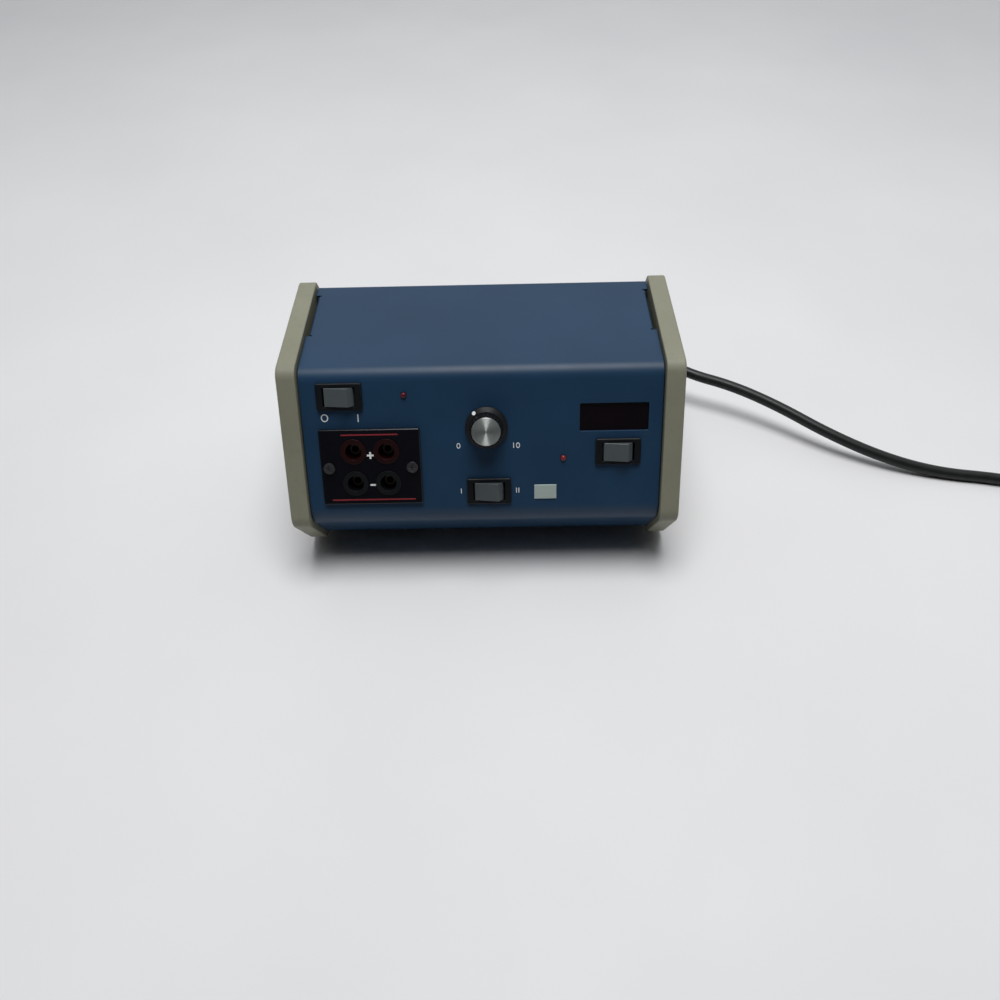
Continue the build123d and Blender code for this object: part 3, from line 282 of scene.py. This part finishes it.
# Other slots: what makes the finish, its colour, its roughness and what differs from the usual
SLOT_FINISHES = {
    "zinc_steel": (metal_finish, (0.60, 0.60, 0.57), 0.35, {}),
    "steel_shaft": (metal_finish, (0.58, 0.58, 0.58), 0.28, {}),
    "aluminium": (metal_finish, (0.72, 0.72, 0.72), 0.35, {"stretch": (1, 1, 12)}),
    # The nickel colour is far darker than bright nickel: painted shade for the jack wells
    "nickel_brass": (metal_finish, (0.20, 0.19, 0.165), 0.42, {}),
    "core_steel": (metal_finish, (0.20, 0.20, 0.21), 0.5, {"stretch": (30, 1, 30)}),
    "copper_winding": (metal_finish, (0.60, 0.33, 0.12), 0.4, {"stretch": (30, 30, 1)}),
    "black_plastic": (
        plain_finish, (0.003, 0.0038, 0.0052), 0.46, {"edge_gain": 1.0, "Specular_IOR_Level": 0.2}
    ),
    "grey_plastic": (plain_finish, (0.066, 0.079, 0.083), 0.36, {}),
    "red_plastic": (plain_finish, (0.013, 0.0016, 0.0022), 0.35, {"Specular_IOR_Level": 0.2}),
    "dark_window": (
        plain_finish, (0.0036, 0.0015, 0.0034), 0.16, {"grain_depth": 0.001, "Specular_IOR_Level": 0.25}
    ),
    "red_lens": (plain_finish, (0.085, 0.006, 0.016), 0.25, {"grain_depth": 0.002, "Specular_IOR_Level": 0.3}),
    "pale_badge": (plain_finish, (0.36, 0.43, 0.405), 0.42, {"vary": 0.05}),
    "green_board": (plain_finish, (0.03, 0.12, 0.05), 0.35, {}),
    "fuse_glass": (plain_finish, (0.7, 0.75, 0.75), 0.08, {"Transmission_Weight": 0.8}),
}

# Nodes that differ from the rest of their slot: the finish's name, then the same
NODE_FINISHES = {
    "output_plate": ("gloss_black", plain_finish, (0.0022, 0.0024, 0.0048), 0.2, {"Specular_IOR_Level": 0.25}),
    "output_plate_screws": ("blackened_steel", metal_finish, (0.10, 0.10, 0.105), 0.42, {}),
    # Tie bars darkened to near black: painted shade for the gap beside the end panels, so no glint shows there
    "tie_bars": ("oiled_steel", metal_finish, (0.06, 0.06, 0.06), 0.5, {}),
    # Jack contacts darkened to near black: painted shade for the deep jack wells
    "jack_contacts": ("dull_brass", metal_finish, (0.07, 0.065, 0.05), 0.4, {}),
    "overload_lamp": ("bright_red_lens", plain_finish, (0.20, 0.012, 0.014), 0.25, {"grain_depth": 0.002}),
}


def dress_nodes():
    """Give every carried-over node its slot's finish, or its own; returns the slots' finishes."""
    by_slot = {slot: make() for slot, make in SPECIAL_FINISHES.items()}
    for slot, (make, color, rough, more) in SLOT_FINISHES.items():
        by_slot[slot] = make(slot, color, rough, **more)
    by_node = {}
    for node, (name, make, color, rough, more) in NODE_FINISHES.items():
        by_node[node] = make(name, color, rough, **more)
    for part in frame["record"]["subparts"]:
        mesh = nodes[part["node"]].data
        mesh.materials.clear()
        mesh.materials.append(by_node.get(part["node"], by_slot[part["material_slot"]]))
    return by_slot


# Mesh helpers
def ring_points(radius, count, height=0.0):
    """Points round a circle about Z."""
    turns = [2 * math.pi * i / count for i in range(count)]
    return [(radius * math.cos(a), radius * math.sin(a), height) for a in turns]


def finished_mesh(name, work):
    """Turn a bmesh into a mesh with its faces outward."""
    bmesh.ops.recalc_face_normals(work, faces=work.faces)
    mesh = bpy.data.meshes.new(name)
    work.to_mesh(mesh)
    work.free()
    return mesh


def add_piece(name, mesh, matrix, material, body):
    """Link a mesh as a piece that rides on a body and takes a slot."""
    mesh.materials.append(material)
    piece = bpy.data.objects.new(name, mesh)
    piece.matrix_world = matrix
    bpy.context.scene.collection.objects.link(piece)
    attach(piece, body)
    return piece


def lathe(name, profile, segments=96):
    """Mesh turned about Z from a closed profile of (radius, height) in millimetres."""
    work = bmesh.new()
    rings = []
    for radius, height in profile:
        if radius == 0:
            rings.append([work.verts.new((0, 0, height * MM))])
            continue
        rings.append([work.verts.new(Vector(point) * MM) for point in ring_points(radius, segments, height)])
    for lower, upper in zip(rings, rings[1:] + rings[:1]):
        for i in range(segments):
            j = (i + 1) % segments
            ring = [lower[i % len(lower)], lower[j % len(lower)], upper[j % len(upper)], upper[i % len(upper)]]
            corners = list(dict.fromkeys(ring))
            if len(corners) > 2:
                work.faces.new(corners)
    mesh = finished_mesh(name, work)
    mesh.shade_smooth()
    mesh.set_sharp_from_angle(angle=math.radians(30))
    return mesh


def prism(work, outline, thickness):
    """Add a flat plate to a bmesh from an outline of (x, y) in millimetres."""
    low, high = ([work.verts.new(Vector((x, y, z)) * MM) for x, y in outline] for z in (0.0, thickness))
    work.faces.new(low[::-1])
    work.faces.new(high)
    for i, corner in enumerate(low):
        j = (i + 1) % len(low)
        work.faces.new((corner, low[j], high[j], high[i]))


def capsule(start, end, width, steps=6):
    """Outline of a line with round ends."""
    heading = math.atan2(end[1] - start[1], end[0] - start[0])
    outline = []
    for middle, first in ((end, heading - math.pi / 2), (start, heading + math.pi / 2)):
        for i in range(steps + 1):
            angle = first + math.pi * i / steps
            side = Vector((math.cos(angle), math.sin(angle))) * width / 2
            outline.append(tuple(Vector(middle) + side))
    return outline


def cross(size, width):
    """Outline of a plus sign."""
    far, near = size / 2, width / 2
    quarter = [(far, -near), (far, near), (near, near)]
    turns = [(1, 0), (0, 1), (-1, 0), (0, -1)]
    return [(x * c - y * s, x * s + y * c) for c, s in turns for x, y in quarter]


def oval_ring(work, centre, width, height, line, thickness, segments=32):
    """Add an upright oval ring to a bmesh, all in millimetres."""
    rings = []
    for inset, z in ((0, 0), (0, thickness), (line, thickness), (line, 0)):
        ring = []
        for i in range(segments):
            angle = 2 * math.pi * i / segments
            x = centre[0] + (width / 2 - inset) * math.cos(angle)
            y = centre[1] + (height / 2 - inset) * math.sin(angle)
            ring.append(work.verts.new(Vector((x, y, z)) * MM))
        rings.append(ring)
    for first, second in zip(rings, rings[1:] + rings[:1]):
        for i in range(segments):
            j = (i + 1) % segments
            work.faces.new((first[i], first[j], second[j], second[i]))


# Printed marks: plain symbols and numbers in thin raised ink
INK_T = 0.05
INK_W = 0.62
DIGIT_INK_W = 0.5
PLATE_OUT = 2.6


def print_mark(name, place, draw, material, body="case"):
    """Add a mark that a function draws into a bmesh, laid on a frame."""
    work = bmesh.new()
    draw(work)
    add_piece(name, finished_mesh(name, work), place, material, body)


def upright(height, x=0.0, width=INK_W):
    """Draws an upright stroke."""
    return lambda work: prism(work, capsule((x, -height / 2), (x, height / 2), width), INK_T)


def level(length, width=INK_W):
    """Draws a level stroke."""
    return lambda work: prism(work, capsule((-length / 2, 0), (length / 2, 0), width), INK_T)


def oval(width, height, x=0.0, line=INK_W):
    """Draws an oval."""
    return lambda work: oval_ring(work, (x, 0), width, height, line, INK_T)


def zero(x=0.0):
    """Draws the digit 0."""
    return oval(2.3, 3.3, x, DIGIT_INK_W)


def one(x=0.0):
    """Draws the digit 1, also used as a bar."""
    return upright(2.7, x, DIGIT_INK_W)


def together(*draws):
    """Draws several things into one mark."""

    def draw(work):
        for each in draws:
            each(work)

    return draw


def make_marks():
    """Print the marks on the front; returns the white ink."""
    white = plain_finish("white_ink", WHITE_INK, 0.45, vary=0.04, grain_mm=0.2)
    red = plain_finish("red_ink", RED_INK, 0.45, vary=0.1, grain_mm=0.2)
    marks = {
        "mark_power_off": (front_matrix(-89.6, 62.2), oval(4.2, 4.6)),
        "mark_power_on": (front_matrix(-70.5, 61.9), upright(4.0)),
        "mark_dial_0": (front_matrix(-13.9, 44.5), zero()),
        "mark_dial_10": (front_matrix(19.4, 44.2), together(one(-1.5), zero(1.0))),
        "mark_range_1": (front_matrix(-13.2, 17.0), one()),
        "mark_range_2": (front_matrix(19.9, 17.0), together(one(-0.7), one(0.7))),
        "mark_plus": (front_matrix(-64.7, 40.4, PLATE_OUT), lambda work: prism(work, cross(4.0, 1.1), INK_T)),
        "mark_minus": (front_matrix(-64.0, 22.6, PLATE_OUT), level(3.0, 1.1)),
    }
    for name, (place, draw) in marks.items():
        print_mark(name, place, draw, white)
    rules = {
        "rule_upper": (front_matrix(-64.5, 52.6, PLATE_OUT), level(32.0, 0.8)),
        "rule_lower": (front_matrix(-64.3, 13.6, PLATE_OUT), level(48.0, 0.8)),
    }
    for name, (place, draw) in rules.items():
        print_mark(name, place, draw, red)
    return white


# Knob: its spun cap, and the white dot on the skirt's slope
KNOB_X, KNOB_S = 2.5, 55.3
KNOB_HEIGHT = 11.6
CAP_R = 8.15
CAP_T = 1.2
CAP_PROUD = 0.4
CAP_RINGS = 9
GROOVE_HALF, GROOVE_DEPTH = 0.12, 0.03
DOT_TURN = math.radians(38)
DOT_REACH = 11.1
DOT_R, DOT_T = 1.15, 0.12
SKIRT_R, SKIRT_TOP = 12.2, 2.4
SKIRT_RISE, SKIRT_RUN = 1.8, 2.6


def make_knob_parts(white):
    knob = front_matrix(KNOB_X, KNOB_S)
    face = [(0, CAP_T)]
    for i in range(1, CAP_RINGS):
        radius = (CAP_R - 0.5) * i / CAP_RINGS
        face += [(radius - GROOVE_HALF, CAP_T), (radius, CAP_T - GROOVE_DEPTH), (radius + GROOVE_HALF, CAP_T)]
    profile = [(0, 0), (CAP_R, 0), (CAP_R, CAP_T - 0.35), (CAP_R - 0.1, CAP_T - 0.12), (CAP_R - 0.35, CAP_T)]
    mesh = lathe("spun_cap", profile + face[::-1], segments=128)
    place = knob @ Matrix.Translation((0, 0, (KNOB_HEIGHT - CAP_T + CAP_PROUD) * MM))
    cap = add_piece("spun_cap", mesh, place, spun_aluminium(), "knob")
    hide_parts("knob_cap")
    height = SKIRT_TOP + (SKIRT_R - DOT_REACH) * SKIRT_RISE / SKIRT_RUN
    slope = math.atan2(SKIRT_RISE, SKIRT_RUN)
    spot = knob @ Matrix.Rotation(DOT_TURN, 4, "Z") @ Matrix.Translation((0, DOT_REACH * MM, height * MM))
    spot = spot @ Matrix.Rotation(-slope, 4, "X")
    outline = [point[:2] for point in ring_points(DOT_R, 24)]
    print_mark("knob_dot", spot, lambda work: prism(work, outline, DOT_T), white, "knob")


# Strain relief: a tapered sleeve with ribs round the cord
RELIEF_PLACE = Vector((-30.0, 42.0, 50.0))
RELIEF_L = 34.0
RELIEF_RIBS, FIRST_RIB, AFTER_RIBS = 8, 4.0, 1.5
ROOT_R, TIP_R = 6.5, 4.7


def make_strain_relief(material):
    bore = CORD_R / MM + 0.05
    profile = [(bore, -1.4), (5.4, -1.4), (5.4, 0.0), (8.0, 0.0), (8.0, 1.6), (7.6, 2.2), (6.6, 2.4)]
    pitch = (RELIEF_L - FIRST_RIB - AFTER_RIBS) / RELIEF_RIBS
    for i in range(RELIEF_RIBS):
        z = FIRST_RIB + i * pitch
        outer = ROOT_R + (TIP_R - ROOT_R) * (z - FIRST_RIB) / (RELIEF_L - FIRST_RIB)
        inner = outer - 0.9 + 0.4 * i / RELIEF_RIBS
        edge = outer - 0.15
        profile += [(inner, z), (edge, z + 0.25), (outer, z + 0.5)]
        profile += [(outer, z + 0.5 * pitch), (edge, z + 0.58 * pitch), (inner, z + 0.66 * pitch)]
    profile += [(TIP_R - 0.35, RELIEF_L - 1.2), (TIP_R - 0.1, RELIEF_L - 0.6)]
    profile += [(TIP_R - 0.5, RELIEF_L), (bore, RELIEF_L)]
    turn = Matrix(((1, 0, 0), (0, 0, 1), (0, -1, 0))).to_4x4()
    place = Matrix.Translation(RELIEF_PLACE * MM) @ turn
    piece = add_piece("ribbed_relief", lathe("ribbed_relief", profile), place, material, "case")
    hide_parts("strain_relief")


# Mains cord: the route's points, in metres, then the coil and the tail
CORD_R = 3.8 * MM
CORD_EXIT = (-0.030, 0.042, 0.050)
COIL_CENTRE = Vector((0.424, 0.0, 0.0))
COIL_ENTRY_DEG = 248.0
COIL_LEAVE_DEG = 364.6
POINTS_PER_TURN = 18
ROUTE = [
    CORD_EXIT,
    (-0.030, 0.070, 0.050),
    (-0.0285, 0.097, 0.050),
    (-0.016, 0.119, 0.0485),
    (0.007, 0.132, 0.0455),
    (0.036, 0.136, 0.042),
    (0.066, 0.127, 0.0375),
    (0.094, 0.110, 0.033),
    (0.1215, 0.088, 0.0293),
    (0.149, 0.0672, 0.0255),
    (0.179, 0.0548, 0.024),
    (0.209, 0.036, 0.0205),
    (0.241, 0.012, 0.0145),
    (0.276, -0.006, 0.008),
    (0.311, -0.017, CORD_R),
    (0.349, -0.023, CORD_R),
    (0.3795, -0.0325, CORD_R),
]
TAIL = [(0.4715, 0.024, 0.0116), (0.472, 0.045, 0.0118), (0.4696, 0.065, 0.012)]
# Turns of the coil: (turns wound so far, radius, height), between which the cord moves over
COIL_TURNS = [
    (0.0, 49.6, 3.8),
    (0.95, 49.6, 3.8),
    (1.1, 42.0, 3.8),
    (1.95, 42.0, 3.8),
    (2.1, 34.6, 3.8),
    (2.6, 34.6, 3.8),
    (2.8, 38.2, 10.4),
    (3.2, 38.2, 10.4),
    (3.4, 45.8, 10.4),
    (5.0, 45.8, 10.4),
]


def coil_points():
    """Points round the coil, from the entry to where the tail leaves it."""
    turns = 4 + (COIL_LEAVE_DEG - COIL_ENTRY_DEG) / 360
    count = round(turns * POINTS_PER_TURN)
    # The curve runs a little inside its points, so they lie further out
    grow = 1 / math.cos(math.pi / POINTS_PER_TURN) ** 0.75
    points = []
    for i in range(count + 1):
        wound = turns * i / count
        for (a, ra, za), (b, rb, zb) in zip(COIL_TURNS, COIL_TURNS[1:]):
            if a <= wound <= b:
                part = (wound - a) / (b - a)
                part = part * part * (3 - 2 * part)
                radius, height = ra + (rb - ra) * part, za + (zb - za) * part
        angle = math.radians(COIL_ENTRY_DEG + 360 * wound)
        side = Vector((math.cos(angle), math.sin(angle), 0)) * radius * grow
        points.append(COIL_CENTRE + (side + Vector((0, 0, height))) * MM)
    return points


def make_cord(material):
    data = bpy.data.curves.new("mains_lead", "CURVE")
    data.dimensions = "3D"
    data.bevel_depth = CORD_R
    data.bevel_resolution = 8
    data.resolution_u = 10
    data.use_fill_caps = True
    points = [Vector(p) for p in ROUTE] + coil_points() + [Vector(p) for p in TAIL]
    spline = data.splines.new("NURBS")
    spline.points.add(len(points) - 1)
    for point, place in zip(spline.points, points):
        point.co = (*place, 1.0)
    spline.order_u = 3
    spline.use_endpoint_u = True
    cord = bpy.data.objects.new("mains_lead", data)
    bpy.context.scene.collection.objects.link(cord)
    data.materials.append(material)
    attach(cord, "case")
    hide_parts("mains_cord", "cord_coil", "cord_tail")


# Floor, lights and world
WORLD_LOW, WORLD_HIGH = 0.01, 0.80
ROOM_BACK, ROOM_FRONT = 0.80, 0.11
WORLD_TINT = (0.96, 0.98, 1.0, 1.0)
FLOOR_HALF = 4.0
LAMP_PLACE, LAMP_TARGET = Vector((0.04, 0.04, 1.6)), Vector((0, 0, 0.05))
LAMP_SIZE, LAMP_WATTS = 0.95, 20


def floor_material():
    shader = Shader("floor")
    shader.set(Specular_IOR_Level=0.2)
    tone = shader.noise(220, detail=3)
    shader.color(shader.blend(shader.span(tone, 0, 1), (0.735, 0.735, 0.75), (0.775, 0.775, 0.785)))
    shader.rough(shader.noise(60, detail=3), 0.5, 0.6)
    return shader.material


def make_floor():
    mesh = bpy.data.meshes.new("floor")
    corners = [(x * FLOOR_HALF, y * FLOOR_HALF, 0) for x, y in ((-1, -1), (1, -1), (1, 1), (-1, 1))]
    mesh.from_pydata(corners, [], [(0, 1, 2, 3)])
    mesh.materials.append(floor_material())
    floor = bpy.data.objects.new("floor", mesh)
    bpy.context.scene.collection.objects.link(floor)


def make_lamp():
    """Round soft lamp above the object."""
    data = bpy.data.lights.new("ceiling_lamp", "AREA")
    data.shape = "DISK"
    data.size = LAMP_SIZE
    data.energy = LAMP_WATTS
    lamp = bpy.data.objects.new("ceiling_lamp", data)
    lamp.location = LAMP_PLACE
    lamp.rotation_mode = "QUATERNION"
    lamp.rotation_quaternion = (LAMP_TARGET - LAMP_PLACE).to_track_quat("-Z", "Y")
    bpy.context.scene.collection.objects.link(lamp)


def make_world():
    """Grey light, brighter overhead, for surfaces; a pale room, greyer in front, for what sees it."""
    world = bpy.data.worlds.new("world")
    world.use_nodes = True
    tree = world.node_tree
    link = tree.links.new
    heading = tree.nodes.new("ShaderNodeTexCoord").outputs["Generated"]

    def gradient(direction, start, end, low, high):
        """Background whose strength follows how far a ray heads along a direction."""
        dot = tree.nodes.new("ShaderNodeVectorMath")
        dot.operation = "DOT_PRODUCT"
        dot.inputs[1].default_value = direction
        link(heading, dot.inputs[0])
        span = tree.nodes.new("ShaderNodeMapRange")
        span.interpolation_type = "SMOOTHSTEP"
        for key, value in (("From Min", start), ("From Max", end), ("To Min", low), ("To Max", high)):
            span.inputs[key].default_value = value
        link(dot.outputs["Value"], span.inputs["Value"])
        background = tree.nodes.new("ShaderNodeBackground")
        background.inputs["Color"].default_value = WORLD_TINT
        link(span.outputs["Result"], background.inputs["Strength"])
        return background.outputs["Background"]

    light = gradient((0, 0.5, 0.866), 0.5, 0.98, WORLD_LOW, WORLD_HIGH)
    room = gradient((0, -0.95, 0.3), -0.1, 0.75, ROOM_BACK, ROOM_FRONT)
    path = tree.nodes.new("ShaderNodeLightPath")
    seen = path.outputs["Is Camera Ray"]
    for kind in ("Is Glossy Ray", "Is Transmission Ray"):
        either = tree.nodes.new("ShaderNodeMath")
        either.operation = "MAXIMUM"
        link(seen, either.inputs[0])
        link(path.outputs[kind], either.inputs[1])
        seen = either.outputs["Value"]
    mix = tree.nodes.new("ShaderNodeMixShader")
    link(seen, mix.inputs["Fac"])
    link(light, mix.inputs[1])
    link(room, mix.inputs[2])
    link(mix.outputs["Shader"], tree.nodes["World Output"].inputs["Surface"])
    bpy.context.scene.world = world


bpy.context.scene.view_settings.view_transform = "Standard"
make_camera()
finishes = dress_nodes()
make_cord(finishes["black_rubber"])
make_knob_parts(make_marks())
make_strain_relief(finishes["black_rubber"])
make_floor()
make_lamp()
make_world()
